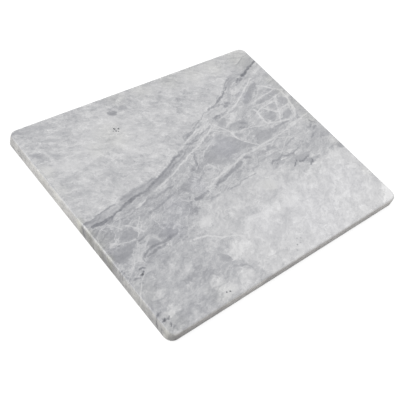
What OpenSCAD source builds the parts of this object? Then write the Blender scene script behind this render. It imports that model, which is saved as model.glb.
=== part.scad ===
// Marble pastry board: one stone slab that stands on four stick-on bumper feet.
// Millimetres, +Z up. The origin is on the worktop under the middle of the slab,
// +X runs along the long sides and +Y runs from the front long side to the rear one.

/* [Slab] */
// Length of the slab, along X
slab_l = 508; // [300:1:800]
// Depth of the slab, along Y
slab_d = 406.4; // [250:0.1:600]
// Thickness of the slab
slab_t = 19.05; // [12:0.05:40]
// Radius of the four corners, seen from above
corner_r = 14; // [6:0.5:60]
// Radius of the eased arris round the top face
top_arris_r = 3; // [0.5:0.1:5]
// Radius of the eased arris round the underside
under_arris_r = 2; // [0.5:0.1:5]

/* [Feet] */
// Distance from the slab's sides to the centre of each foot
foot_inset = 32; // [24:1:90]
// Diameter of a foot at its back, where it sticks to the slab
foot_d = 16; // [12:0.5:25]
// Height of the moulded bumper
foot_h = 3.5; // [2.5:0.1:8]
// Depth of the straight rim at the bumper's back
foot_rim_h = 0.8; // [0.3:0.1:1]
// How far the bumper's flank draws in from its rim to its pad
foot_draw = 1.2; // [0.3:0.1:2]
// Radius of the bumper's lower edge, round the pad
foot_edge_r = 0.9; // [0.3:0.1:1]

/* [Adhesive] */
// Width of bare rim that is left round the adhesive disc
adhesive_margin = 0.75; // [0.2:0.05:1.5]
// Thickness of the adhesive disc
adhesive_t = 0.5; // [0.2:0.1:1.2]

/* [Hidden] */
$fn = 96;

// Levels above the worktop
adhesive_z = foot_h;
slab_z = adhesive_z + adhesive_t;

// Centres of the slab's corner arcs
corner_x = slab_l / 2 - corner_r;
corner_y = slab_d / 2 - corner_r;

// Centres of the feet
foot_x = slab_l / 2 - foot_inset;
foot_y = slab_d / 2 - foot_inset;

// Points of a bumper's half section: the lower corner of its rim, the centre of its
// rounded edge, and the place where the flank touches that edge
rim_corner = [foot_d / 2, foot_h - foot_rim_h];
edge_centre = [foot_d / 2 - foot_draw - foot_edge_r, foot_edge_r];
to_rim = rim_corner - edge_centre;
touch_angle = atan2(to_rim.y, to_rim.x) - acos(foot_edge_r / norm(to_rim));
flank_foot = edge_centre + foot_edge_r * [cos(touch_angle), sin(touch_angle)];

// Section through the slab's edge, from a line that lies inside it out to its side.
// The side is upright between the two eased arrises.
module edge_section(reach) {
  square([reach - top_arris_r, slab_t]);
  square([reach - under_arris_r, slab_t / 2]);
  translate([0, under_arris_r])
    square([reach, slab_t - top_arris_r - under_arris_r]);
  translate([reach - top_arris_r, slab_t - top_arris_r])
    circle(r = top_arris_r);
  translate([reach - under_arris_r, under_arris_r])
    circle(r = under_arris_r);
}

// Half of the slab's cross section, drawn both ways and run straight along one side
module straight_run(half_width, run) {
  for (side = [0, 1])
    mirror([side, 0, 0])
      rotate([90, 0, 0])
        translate([0, 0, -run / 2])
          linear_extrude(height = run)
            edge_section(half_width);
}

// One ground corner: the edge section turned about the corner's centre
module ground_corner() {
  rotate_extrude()
    edge_section(corner_r);
}

module marble_slab() {
  color([0.79, 0.79, 0.79])
    translate([0, 0, slab_z]) {
      straight_run(slab_l / 2, slab_d - 2 * corner_r);
      rotate([0, 0, 90])
        straight_run(slab_d / 2, slab_l - 2 * corner_r);
      for (sx = [-1, 1], sy = [-1, 1])
        translate([sx * corner_x, sy * corner_y, 0])
          ground_corner();
    }
}

// Half section of a moulded bumper: a short straight rim, a flank that draws in,
// and a rounded edge that the flank runs into smoothly and that ends in the flat pad
module bumper_section() {
  square([edge_centre.x, foot_h]);
  translate(edge_centre)
    circle(r = foot_edge_r);
  polygon([
    [0, edge_centre.y],
    edge_centre,
    flank_foot,
    rim_corner,
    [foot_d / 2, foot_h],
    [0, foot_h]
  ]);
}

module bumper_foot(sx, sy) {
  color([0.16, 0.16, 0.165])
    translate([sx * foot_x, sy * foot_y, 0])
      rotate_extrude()
        bumper_section();
}

module adhesive_disc(sx, sy) {
  color([0.87, 0.86, 0.82])
    translate([sx * foot_x, sy * foot_y, adhesive_z])
      cylinder(h = adhesive_t, r = foot_d / 2 - adhesive_margin);
}

module foot_front_left() bumper_foot(-1, -1);
module foot_front_right() bumper_foot(1, -1);
module foot_rear_left() bumper_foot(-1, 1);
module foot_rear_right() bumper_foot(1, 1);

module adhesive_front_left() adhesive_disc(-1, -1);
module adhesive_front_right() adhesive_disc(1, -1);
module adhesive_rear_left() adhesive_disc(-1, 1);
module adhesive_rear_right() adhesive_disc(1, 1);

marble_slab();
foot_front_left();
foot_front_right();
foot_rear_left();
foot_rear_right();
adhesive_front_left();
adhesive_front_right();
adhesive_rear_left();
adhesive_rear_right();
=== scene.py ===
import math

import bpy
from mathutils import Matrix, Vector


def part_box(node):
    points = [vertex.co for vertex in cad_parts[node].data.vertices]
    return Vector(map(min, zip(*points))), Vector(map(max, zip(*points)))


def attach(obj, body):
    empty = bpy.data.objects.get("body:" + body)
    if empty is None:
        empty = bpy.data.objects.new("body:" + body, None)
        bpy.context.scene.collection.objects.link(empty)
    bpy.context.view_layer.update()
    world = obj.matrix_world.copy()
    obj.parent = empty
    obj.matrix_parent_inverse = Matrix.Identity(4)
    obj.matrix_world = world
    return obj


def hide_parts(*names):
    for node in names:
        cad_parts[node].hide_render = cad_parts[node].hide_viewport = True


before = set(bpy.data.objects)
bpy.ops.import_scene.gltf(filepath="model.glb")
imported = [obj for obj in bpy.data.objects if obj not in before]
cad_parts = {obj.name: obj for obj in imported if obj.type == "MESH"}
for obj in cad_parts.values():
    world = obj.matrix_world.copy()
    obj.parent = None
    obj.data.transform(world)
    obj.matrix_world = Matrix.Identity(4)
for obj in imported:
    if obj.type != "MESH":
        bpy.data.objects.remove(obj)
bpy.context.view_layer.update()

# The shot.
# A long view from above one corner, slightly rolled, as the board was photographed.

MM = 0.001
SLAB_LOW, SLAB_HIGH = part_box("marble_slab")
AZIMUTH, ELEVATION, ROLL = math.radians(-56.44), math.radians(47.22), math.radians(22.09)
AIM = Vector((-63.46, -0.85, 0)) * MM
DISTANCE = 1176.4 * MM
FOCAL_PIXELS = 749.76
FRAME_PIXELS = 400
SHIFT_PIXELS = (18.59, -11.8)
SENSOR = 36.0


def aim_camera():
    back = Vector((
        math.sin(AZIMUTH) * math.cos(ELEVATION),
        -math.cos(AZIMUTH) * math.cos(ELEVATION),
        math.sin(ELEVATION),
    ))
    level = Vector((0, 0, 1)).cross(back).normalized()
    up = back.cross(level)
    right = math.cos(ROLL) * level + math.sin(ROLL) * up
    top = -math.sin(ROLL) * level + math.cos(ROLL) * up
    turn = Matrix((right, top, back)).transposed()
    eye = bpy.data.cameras.new("camera")
    eye.sensor_width = SENSOR
    eye.lens = FOCAL_PIXELS / FRAME_PIXELS * SENSOR
    eye.shift_x = SHIFT_PIXELS[0] / FRAME_PIXELS
    eye.shift_y = SHIFT_PIXELS[1] / FRAME_PIXELS
    eye.clip_start = 0.01
    eye.clip_end = 50
    camera = bpy.data.objects.new("camera", eye)
    place = AIM + Vector((0, 0, SLAB_LOW.z)) + back * DISTANCE
    camera.matrix_world = Matrix.Translation(place) @ turn.to_4x4()
    bpy.context.scene.collection.objects.link(camera)
    bpy.context.scene.camera = camera


aim_camera()

# The worktop and the light.
# A plain white table under soft light: a broad sun from behind the left end, and an even sky.

FLOOR_HALF = 30.0
FLOOR_ALBEDO = 0.3
FLOOR_TOP_UP = 0.87
SKY = 0.405
SUN_FROM = Vector((-0.55, 0.26, 0.80))
SUN_SPREAD = math.radians(40)
SUN_STRENGTH = 2.33


def add(tree, kind, *inputs, named={}, **settings):
    """One more node in a tree: each input is a plain value or the output of an earlier node."""
    made = tree.nodes.new(kind)
    for name, value in settings.items():
        setattr(made, name, value)
    for key, value in list(enumerate(inputs)) + list(named.items()):
        if isinstance(value, bpy.types.NodeSocket):
            tree.links.new(value, made.inputs[key])
        elif value is not None:
            made.inputs[key].default_value = value
    return made.outputs[0] if made.outputs else None


def maths(tree, operation, *inputs):
    return add(tree, "ShaderNodeMath", *inputs, operation=operation)


def new_material(name):
    material = bpy.data.materials.new(name)
    material.use_nodes = True
    tree = material.node_tree
    tree.nodes.clear()
    return material, tree


def lay_floor():
    material, tree = new_material("white_table")
    rays = tree.nodes.new("ShaderNodeLightPath").outputs
    seen = maths(tree, "MAXIMUM", rays["Is Camera Ray"], rays["Is Glossy Ray"])
    seen = maths(tree, "MAXIMUM", seen, rays["Is Transmission Ray"])
    paint = add(tree, "ShaderNodeBsdfDiffuse", (FLOOR_ALBEDO, FLOOR_ALBEDO, FLOOR_ALBEDO, 1))
    glow = add(tree, "ShaderNodeEmission", (1, 1, 1, 1), maths(tree, "MULTIPLY", seen, FLOOR_TOP_UP))
    add(tree, "ShaderNodeOutputMaterial", add(tree, "ShaderNodeAddShader", paint, glow))
    mesh = bpy.data.meshes.new("table_top")
    reach = FLOOR_HALF
    corners = [(-reach, -reach, 0), (reach, -reach, 0), (reach, reach, 0), (-reach, reach, 0)]
    mesh.from_pydata(corners, [], [(0, 1, 2, 3)])
    mesh.materials.append(material)
    floor = bpy.data.objects.new("table_top", mesh)
    bpy.context.scene.collection.objects.link(floor)


def light_room():
    sky = bpy.data.worlds.new("studio")
    bpy.context.scene.world = sky
    sky.use_nodes = True
    tree = sky.node_tree
    tree.nodes.clear()
    rays = tree.nodes.new("ShaderNodeLightPath").outputs
    level = add(tree, "ShaderNodeMapRange", rays["Is Camera Ray"], 0.0, 1.0, SKY, 1.0)
    add(tree, "ShaderNodeOutputWorld", add(tree, "ShaderNodeBackground", (1, 1, 1, 1), level))
    lamp = bpy.data.lights.new("window", "SUN")
    lamp.angle = SUN_SPREAD
    lamp.energy = SUN_STRENGTH
    window = bpy.data.objects.new("window", lamp)
    window.rotation_euler = SUN_FROM.to_track_quat("Z", "Y").to_euler()
    bpy.context.scene.collection.objects.link(window)


lay_floor()
light_room()
bpy.context.scene.view_settings.view_transform = "Standard"

# The marble slab, its shape.
# One piece of grey and white veined marble, sawn to size, with ground corners, arrises
# eased by hand and a honed face. A few natural pits are open in the face.

SLAB_SIZES = {
    "Length": SLAB_HIGH.x - SLAB_LOW.x,
    "Depth": SLAB_HIGH.y - SLAB_LOW.y,
    "Underside": SLAB_LOW.z,
    "Face": SLAB_HIGH.z,
    "Corner radius": 14.0 * MM,
    "Face arris": 3.0 * MM,
    "Underside arris": 2.0 * MM,
    "Hand wobble": 0.25 * MM,
    "Step along": 2.5 * MM,
}
CORNER_STEPS, ARRIS_STEPS = 16, 6
# How far in the section starts, in widths of the face arris
SECTION_REACH = -1.5
PIT_SIDES, PIT_RINGS = 14, 8
BOWL_TOP = 0.01
PIT_LUMPS_PER_M, PIT_ROUGHNESS = 700.0, (1.8 * MM, 1.8 * MM, 0)
WANDER_LUMPS_PER_M = 45.0
CRISP_ANGLE = math.radians(40)
WELD_DISTANCE = 0.01 * MM

# Natural pits, as x, y, half length, half width and depth
PITS = [
    (-98.5, 137.5, 1.9, 1.6, 1.1), (-92, 134.6, 2.1, 1.3, 0.9), (-98.4, 132.2, 2, 0.9, 0.7),
    (-95.6, 129.6, 1.5, 0.7, 0.5), (-103.2, 133.8, 1, 0.8, 0.5), (-140.8, -188.4, 1.7, 0.9, 0.7),
    (-135.2, -190, 1.5, 1.2, 0.9), (-227.6, -104.2, 2.4, 1.3, 1), (-225.4, -99.4, 1.3, 1, 0.7),
    (-224.4, -94.6, 1.2, 0.9, 0.6), (-246.2, -176.9, 1.7, 0.9, 0.7), (15.2, -183.2, 1.1, 0.9, 0.5),
]


def by_index(tree, kind, values):
    """A field that hands each point in turn its own one of these values."""
    switch = tree.nodes.new("GeometryNodeIndexSwitch")
    switch.data_type = kind
    while len(switch.index_switch_items) < len(values):
        switch.index_switch_items.new()
    tree.links.new(add(tree, "GeometryNodeInputIndex"), switch.inputs[0])
    for number, value in enumerate(values, 1):
        if isinstance(value, bpy.types.NodeSocket):
            tree.links.new(value, switch.inputs[number])
        else:
            switch.inputs[number].default_value = value
    return switch.outputs[0]


def slab_tree(material):
    """Sweeps the edge section round the outline, closes both faces and opens the pits."""
    tree = bpy.data.node_groups.new("ground_slab", "GeometryNodeTree")
    tree.interface.new_socket("Pit centres", in_out="INPUT", socket_type="NodeSocketGeometry")
    for name in SLAB_SIZES:
        tree.interface.new_socket(name, in_out="INPUT", socket_type="NodeSocketFloat")
    tree.interface.new_socket("Slab", in_out="OUTPUT", socket_type="NodeSocketGeometry")
    given = tree.nodes.new("NodeGroupInput").outputs

    # The outline, seen from above
    outline = add(tree, "GeometryNodeCurvePrimitiveQuadrilateral", given["Length"], given["Depth"])
    outline = add(tree, "GeometryNodeFilletCurve", outline, CORNER_STEPS, given["Corner radius"], mode="POLY")
    spacing = {"Length": given["Step along"]}
    outline = add(tree, "GeometryNodeResampleCurve", outline, mode="LENGTH", named=spacing)
    outline = add(tree, "GeometryNodeSetCurveNormal", outline, mode="Z_UP")

    # The section: out along the face, down the side and back in under the slab
    inner = maths(tree, "MULTIPLY", given["Face arris"], SECTION_REACH)
    above = maths(tree, "MULTIPLY", given["Face"], -1.0)
    below = maths(tree, "MULTIPLY", given["Underside"], -1.0)
    bends = [
        add(tree, "ShaderNodeCombineXYZ", inner, above),
        add(tree, "ShaderNodeCombineXYZ", 0.0, above),
        add(tree, "ShaderNodeCombineXYZ", 0.0, below),
        add(tree, "ShaderNodeCombineXYZ", inner, below),
    ]
    section = add(tree, "GeometryNodeMeshLine", mode="OFFSET", named={"Count": len(bends)})
    section = add(tree, "GeometryNodeMeshToCurve", section)
    places = by_index(tree, "VECTOR", bends)
    section = add(tree, "GeometryNodeSetPosition", section, named={"Position": places})
    radii = by_index(tree, "FLOAT", [0.0, given["Face arris"], given["Underside arris"], 0.0])
    section = add(tree, "GeometryNodeFilletCurve", section, ARRIS_STEPS, radii, mode="POLY")
    edge = add(tree, "GeometryNodeCurveToMesh", outline, section)

    # Each pit is a small rough bowl
    position = add(tree, "GeometryNodeInputPosition")
    height = add(tree, "ShaderNodeSeparateXYZ", position).node.outputs["Z"]
    on_rim = maths(tree, "COMPARE", add(tree, "GeometryNodeInputMeshEdgeNeighbors"), 1.0, 0.5)
    bowl = add(tree, "GeometryNodeMeshUVSphere", PIT_SIDES, PIT_RINGS, 1.0)
    upper = maths(tree, "GREATER_THAN", height, BOWL_TOP)
    bowl = add(tree, "GeometryNodeDeleteGeometry", bowl, upper, domain="POINT")
    bowl = add(tree, "GeometryNodeFlipFaces", bowl)
    reach = add(tree, "GeometryNodeInputNamedAttribute", "reach", data_type="FLOAT_VECTOR")
    pits = add(tree, "GeometryNodeInstanceOnPoints", given["Pit centres"],
               named={"Instance": bowl, "Scale": reach})
    pits = add(tree, "GeometryNodeRealizeInstances", pits)
    lumps = add(tree, "ShaderNodeTexNoise", named={"Scale": PIT_LUMPS_PER_M, "Detail": 1.0})
    rough = lumps.node.outputs["Color"]
    rough = add(tree, "ShaderNodeVectorMath", rough, (0.5, 0.5, 0.5), operation="SUBTRACT")
    rough = add(tree, "ShaderNodeVectorMath", rough, PIT_ROUGHNESS, operation="MULTIPLY")
    pits = add(tree, "GeometryNodeSetPosition", pits, named={"Offset": rough})

    # The face closes the upper rim and is open over the pits; the underside closes the lower rim
    middle = maths(tree, "MULTIPLY", maths(tree, "ADD", given["Face"], given["Underside"]), 0.5)
    whole = tree.nodes.new("GeometryNodeJoinGeometry")
    for side, level in (("GREATER_THAN", given["Face"]), ("LESS_THAN", given["Underside"])):
        rim = maths(tree, "MULTIPLY", on_rim, maths(tree, side, height, middle))
        rims = tree.nodes.new("GeometryNodeJoinGeometry")
        tree.links.new(add(tree, "GeometryNodeMeshToCurve", edge, rim), rims.inputs[0])
        if side == "GREATER_THAN":
            tree.links.new(add(tree, "GeometryNodeMeshToCurve", pits, on_rim), rims.inputs[0])
        lid = add(tree, "GeometryNodeFillCurve", rims.outputs[0], mode="NGONS")
        lift = add(tree, "ShaderNodeCombineXYZ", 0.0, 0.0, level)
        lid = add(tree, "GeometryNodeSetPosition", lid, named={"Offset": lift})
        if side == "LESS_THAN":
            lid = add(tree, "GeometryNodeFlipFaces", lid)
        tree.links.new(lid, whole.inputs[0])
    tree.links.new(edge, whole.inputs[0])
    tree.links.new(pits, whole.inputs[0])
    slab = add(tree, "GeometryNodeMergeByDistance", whole.outputs[0], named={"Distance": WELD_DISTANCE})

    # The arrises were eased by hand: they wander inwards a little, never out
    facing = add(tree, "GeometryNodeInputNormal")
    tilt = maths(tree, "ABSOLUTE", add(tree, "ShaderNodeSeparateXYZ", facing).node.outputs["Z"])
    both_ways = maths(tree, "MULTIPLY", tilt, maths(tree, "SUBTRACT", 1.0, tilt))
    on_arris = maths(tree, "MULTIPLY", both_ways, 4.0)
    wander = add(tree, "ShaderNodeTexNoise", named={"Scale": WANDER_LUMPS_PER_M, "Detail": 2.0})
    inwards = maths(tree, "MULTIPLY", maths(tree, "MULTIPLY", on_arris, wander), given["Hand wobble"])
    shift = add(tree, "ShaderNodeVectorMath", facing, operation="SCALE",
                named={"Scale": maths(tree, "MULTIPLY", inwards, -1.0)})
    slab = add(tree, "GeometryNodeSetPosition", slab, named={"Offset": shift})

    # Smooth all over, but crisp where the pits break the face
    slab = add(tree, "GeometryNodeSetShadeSmooth", slab, True, True, domain="FACE")
    crisp = maths(tree, "GREATER_THAN", add(tree, "GeometryNodeInputMeshEdgeAngle"), CRISP_ANGLE)
    slab = add(tree, "GeometryNodeSetShadeSmooth", slab, crisp, False, domain="EDGE")
    slab = add(tree, "GeometryNodeRealizeInstances", slab)
    slab = add(tree, "GeometryNodeSetMaterial", slab, named={"Material": material})
    add(tree, "NodeGroupOutput", slab)
    return tree


def unfold(mesh):
    """The map for baked copies: the face large, the underside small, the sides as four strips."""
    sheet = 1024
    face_scale, under_scale, side_scale = 1.75, 0.65, 1.3
    strip_left, strip_low, strip_step = 342, 726, 40
    margin, edge_zone, lying = 2, 6 * MM, 0.7
    layer = mesh.uv_layers.new(name="OFBake").data
    middle = (SLAB_LOW.z + SLAB_HIGH.z) / 2
    reach = [half - edge_zone for half in (SLAB_HIGH.x, SLAB_HIGH.y)]
    for polygon in mesh.polygons:
        tilt, centre = polygon.normal, polygon.center
        inside = abs(centre.x) < reach[0] and abs(centre.y) < reach[1]
        for corner in polygon.loop_indices:
            x, y, z = (mesh.vertices[mesh.loops[corner].vertex_index].co - SLAB_LOW) / MM
            if tilt.z > lying or (inside and centre.z > middle):
                spot = (margin + x * face_scale, margin + y * face_scale)
            elif tilt.z < -lying or inside:
                spot = (margin + x * under_scale, strip_low + y * under_scale)
            else:
                on_end = abs(tilt.x) > abs(tilt.y)
                strip_number = (0 if tilt.x > 0 else 1) if on_end else (2 if tilt.y > 0 else 3)
                along = y if on_end else x
                low = strip_low + strip_number * strip_step
                spot = (strip_left + along * side_scale, low + z * side_scale)
            layer[corner].uv = Vector(spot) / sheet


def grind_slab(material):
    """The slab as a plain mesh, made by the tree from the pit centres."""
    pits = bpy.data.meshes.new("pit_centres")
    pits.from_pydata([(x * MM, y * MM, SLAB_HIGH.z) for x, y, *sizes in PITS], [], [])
    reach = pits.attributes.new("reach", "FLOAT_VECTOR", "POINT")
    for number, (x, y, *sizes) in enumerate(PITS):
        reach.data[number].vector = Vector(sizes) * MM
    maker = bpy.data.objects.new("pit_centres", pits)
    bpy.context.scene.collection.objects.link(maker)
    modifier = maker.modifiers.new("ground_slab", "NODES")
    modifier.node_group = slab_tree(material)
    for item in modifier.node_group.interface.items_tree:
        if item.in_out == "INPUT" and item.name in SLAB_SIZES:
            modifier[item.identifier] = SLAB_SIZES[item.name]
    made = maker.evaluated_get(bpy.context.evaluated_depsgraph_get())
    mesh = bpy.data.meshes.new_from_object(made)
    mesh.name = "honed_slab"
    mesh.materials.pop(index=0)
    unfold(mesh)
    bpy.data.objects.remove(maker)
    slab = bpy.data.objects.new("honed_slab", mesh)
    bpy.context.scene.collection.objects.link(slab)
    return slab


# The marble, how it lies.
# The beds dip into the slab, so every vein that crosses the face carries on, a little
# moved, down the sides and across the underside. All places here are in millimetres.

DIP = {"X": 0.25, "Y": 0.6}

marble, stone = new_material("veined_marble")
spot = stone.nodes.new("ShaderNodeTexCoord").outputs["Object"]
in_mm = add(stone, "ShaderNodeVectorMath", spot, operation="SCALE", named={"Scale": 1 / MM})
axes = add(stone, "ShaderNodeSeparateXYZ", in_mm).node.outputs
depth = maths(stone, "SUBTRACT", SLAB_HIGH.z / MM, axes["Z"])
BED = tuple(maths(stone, "MULTIPLY_ADD", depth, DIP[side], axes[side]) for side in "XY")
# Noise seldom nears its limits, so it is stretched before it moves a place
PUSH_GAIN, SIDE_SEED = 8.0, 0.37


def noise(place, size, detail=1.0, roughness=0.5, seed=0.0):
    """Natural unevenness about zero, whose coarsest lumps are about this many millimetres across."""
    level = maths(stone, "ADD", axes["Z"], 100.0 * seed)
    place = add(stone, "ShaderNodeCombineXYZ", *place, level)
    lumps = add(stone, "ShaderNodeTexNoise",
                named={"Vector": place, "Scale": 1 / size, "Detail": detail, "Roughness": roughness})
    return maths(stone, "SUBTRACT", lumps, 0.5)


def moved(place, within, *layers):
    """A place moved to and fro by layers of noise: the size of the lumps and the reach of the move."""
    sides = list(place)
    for size, reach in layers:
        for side in (0, 1):
            push = noise(within, size, 2.0, 0.6, seed=size + SIDE_SEED * side)
            sides[side] = maths(stone, "MULTIPLY_ADD", push, PUSH_GAIN * reach, sides[side])
    return tuple(sides)


def turned(tree, place, angle, stretch):
    """A place measured along and across one direction, drawn out along it."""
    turn = math.radians(angle)
    along = maths(tree, "MULTIPLY", place[0], math.cos(turn) / stretch)
    across = maths(tree, "MULTIPLY", place[0], -math.sin(turn))
    along = maths(tree, "MULTIPLY_ADD", place[1], math.sin(turn) / stretch, along)
    return along, maths(tree, "MULTIPLY_ADD", place[1], math.cos(turn), across)


KNEADED = moved(BED, BED, (30.0, 2.0))
RAGGED = moved(BED, KNEADED, (4.5, 0.6), (17.0, 0.9))
SMOOTH = moved(BED, KNEADED, (7.0, 0.5), (24.0, 0.8))
CLOUDY = moved(BED, KNEADED, (15.0, 3.0), (5.0, 1.4))


def drawn(tree, value, points):
    """A value that follows given points along another one."""
    node = tree.nodes.new("ShaderNodeFloatCurve")
    node.mapping.use_clip = False
    node.mapping.extend = "HORIZONTAL"
    knots = node.mapping.curves[0].points
    while len(knots) < len(points):
        knots.new(0.5, 0.5)
    for knot, point in zip(knots, points):
        knot.location = point
        knot.handle_type = "AUTO_CLAMPED"
    node.mapping.update()
    tree.links.new(value, node.inputs["Value"])
    return node.outputs[0]


def fade(tree, value, start, stop, first, last):
    """Goes smoothly from one amount to another while a value goes from start to stop."""
    return add(tree, "ShaderNodeMapRange", value, start, stop, first, last, interpolation_type="SMOOTHSTEP")


def patchy(size, seed, low, high, least, most):
    """An amount that comes and goes over the stone, in patches of about this size."""
    return fade(stone, noise(KNEADED, size, 2.0, 0.6, seed), low, high, least, most)


def mix(tree, amount, under, over):
    return add(tree, "ShaderNodeMix", amount, None, under, over, data_type="FLOAT")


def new_group(name, *titles):
    """A node group with these inputs and one output, and the sockets that read the inputs."""
    tree = bpy.data.node_groups.new(name, "ShaderNodeTree")
    for title in titles:
        tree.interface.new_socket(title, in_out="INPUT", socket_type="NodeSocketFloat")
    tree.interface.new_socket("Result", in_out="OUTPUT", socket_type="NodeSocketFloat")
    return tree, tree.nodes.new("NodeGroupInput").outputs


def cover_group():
    """How much of a vein covers a spot, from how far across the spot lies."""
    tree, given = new_group("cover", "Across", "Middle", "Half", "Edge", "Strength")
    away = maths(tree, "ABSOLUTE", maths(tree, "SUBTRACT", given["Across"], given["Middle"]))
    outside = maths(tree, "SUBTRACT", away, given["Half"])
    start = maths(tree, "MULTIPLY", given["Edge"], -1.0)
    add(tree, "NodeGroupOutput", fade(tree, outside, start, given["Edge"], given["Strength"], 0.0))
    return tree


PATCH_CORE, PATCH_RIM = 0.25, 1.35


def patch_group():
    """How much of a round patch covers a spot."""
    tree, given = new_group("patch", "Along", "Across", "X", "Y", "Radius", "Strength")
    x = maths(tree, "SUBTRACT", given["Along"], given["X"])
    y = maths(tree, "SUBTRACT", given["Across"], given["Y"])
    away = maths(tree, "SQRT", maths(tree, "MULTIPLY_ADD", x, x, maths(tree, "MULTIPLY", y, y)))
    inner = maths(tree, "MULTIPLY", given["Radius"], PATCH_CORE)
    outer = maths(tree, "MULTIPLY", given["Radius"], PATCH_RIM)
    add(tree, "NodeGroupOutput", fade(tree, away, inner, outer, given["Strength"], 0.0))
    return tree


COVER, PATCH = cover_group(), patch_group()
UNSEEN_STEP = 1e-9
# The noise that wears paint away, and the limits below which it is worn and above which it is whole
WEAR_SIZE, WEAR_SEED, WORN_BELOW, WHOLE_ABOVE = 8.0, 20.0, -0.14, 0.08


def strip(tree, place, points, edge, taper, half=0.0, strength=1.0):
    """The cover of one vein: points are x, y and, where it varies, the half width."""
    wide = abs(points[-1][0] - points[0][0]) >= abs(points[-1][1] - points[0][1])
    run, rise = (0, 1) if wide else (1, 0)
    points = sorted(points, key=lambda point: point[run])
    halves = [(point[run], point[2] if len(point) > 2 else half) for point in points]
    ends = [(halves[0][0] - taper, -edge), (halves[-1][0] + taper, -edge)]
    middle = drawn(tree, place[run], [(point[run], point[rise]) for point in points])
    width = drawn(tree, place[run], [ends[0], *halves, ends[1]])
    return add(tree, "ShaderNodeGroup", place[rise], middle, width, edge, strength, node_tree=COVER)


def new_layer(name):
    """A group that paints over the tone so far. Its place is read once that tone is known: the
    step added here is far too small to see, but keeps the renderer's working memory small."""
    tree, given = new_group(name, "Tone", "Along", "Across")
    tone = given["Tone"]
    sides = [maths(tree, "MULTIPLY_ADD", tone, UNSEEN_STEP, given[side]) for side in ("Along", "Across")]
    return tree, tone, sides


def painted(name, tone, place, rows, edge, taper, wear=0.45):
    """Paints veins over the tone so far. A row is a shade, a strength, a half width and points;
    noise wears part of the paint away again."""
    tree, result, spot = new_layer(name)
    for shade, strength, half, points in rows:
        cover = strip(tree, spot, points, edge, taper, half, strength)
        result = mix(tree, cover, result, float(shade))
    add(tree, "NodeGroupOutput", result)
    layer = add(stone, "ShaderNodeGroup", tone, *place, node_tree=tree)
    kept = patchy(WEAR_SIZE, WEAR_SEED + len(rows), WORN_BELOW, WHOLE_ABOVE, 1.0 - wear, 1.0)
    return mix(stone, kept, tone, layer)


def alike(rows, strength):
    """The rows of a table whose veins all have one strength; a point without a half width has 1."""
    return [(shade, strength, 1, points) for shade, points in rows]


def clouded(name, tone, place, angle, stretch, rows, strength):
    """Paints soft patches over the tone so far, drawn out along one direction. A row is a shade,
    the centre and a radius."""
    turn = math.radians(angle)
    tree, result, spot = new_layer(name)
    spot = turned(tree, spot, angle, stretch)
    for shade, x, y, radius in rows:
        centre = (x * math.cos(turn) + y * math.sin(turn)) / stretch, y * math.cos(turn) - x * math.sin(turn)
        cover = add(tree, "ShaderNodeGroup", *spot, *centre, float(radius), strength, node_tree=PATCH)
        result = mix(tree, cover, result, float(shade))
    add(tree, "NodeGroupOutput", result)
    return add(stone, "ShaderNodeGroup", tone, *place, node_tree=tree)


# The marble, its ground.
# Five areas, each with its own tone and grain: pale above the dark seam, broken grey across
# the middle with a narrow even area below it, streaky grey at the lower left and cloudy white
# at the lower right.

UPPER_TONE, LEFT_TONE, RIGHT_TONE, MIDDLE_TONE = 199.0, 187.0, 211.0, 199.0
BROKEN_TONES = [(-254, 176), (-190, 179), (-90, 183), (-20, 187), (254, 189)]

BROKEN_AREA = [
    (-254, -53, 57), (-200, -47.5, 47.5), (-140, -39, 53), (-80, -15, 43), (0, 1.5, 51.5), (60, 26.5, 66.5),
    (100, 24.5, 79.5), (150, 36, 104), (190, 41, 119), (254, 55, 125),
]
LOWER_LIMIT = [(x, y - half) for x, y, half in BROKEN_AREA]
SPLIT = [(-203, -62), (-150, -78), (-125, -52), (-95, -98), (-60, -85), (0, -60)]
MIDDLE_AREA = [
    (-105, -80, 22), (-60, -88, 36), (-30, -80, 30), (0, -76, 30), (30, -74, 26), (60, -70, 22),
    (100, -68, 18), (130, -74, 12), (155, -78, 6),
]

# How far one area passes into the next
LOW_EDGE, SPLIT_EDGE = 2.0, 13.0

in_broken = strip(stone, RAGGED, BROKEN_AREA, edge=4.0, taper=3.0)
below = maths(stone, "SUBTRACT", CLOUDY[1], drawn(stone, CLOUDY[0], LOWER_LIMIT))
under_broken = fade(stone, below, LOW_EDGE, -LOW_EDGE, 0.0, 1.0)
past_split = maths(stone, "SUBTRACT", CLOUDY[0], drawn(stone, CLOUDY[1], SPLIT))
on_right = fade(stone, past_split, -SPLIT_EDGE, SPLIT_EDGE, 0.0, 1.0)
in_middle = strip(stone, CLOUDY, MIDDLE_AREA, edge=7.0, taper=7.0)
low_tone = mix(stone, in_middle, mix(stone, on_right, LEFT_TONE, RIGHT_TONE), MIDDLE_TONE)
tone = mix(stone, in_broken, mix(stone, under_broken, UPPER_TONE, low_tone),
           drawn(stone, BED[0], BROKEN_TONES))

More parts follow.
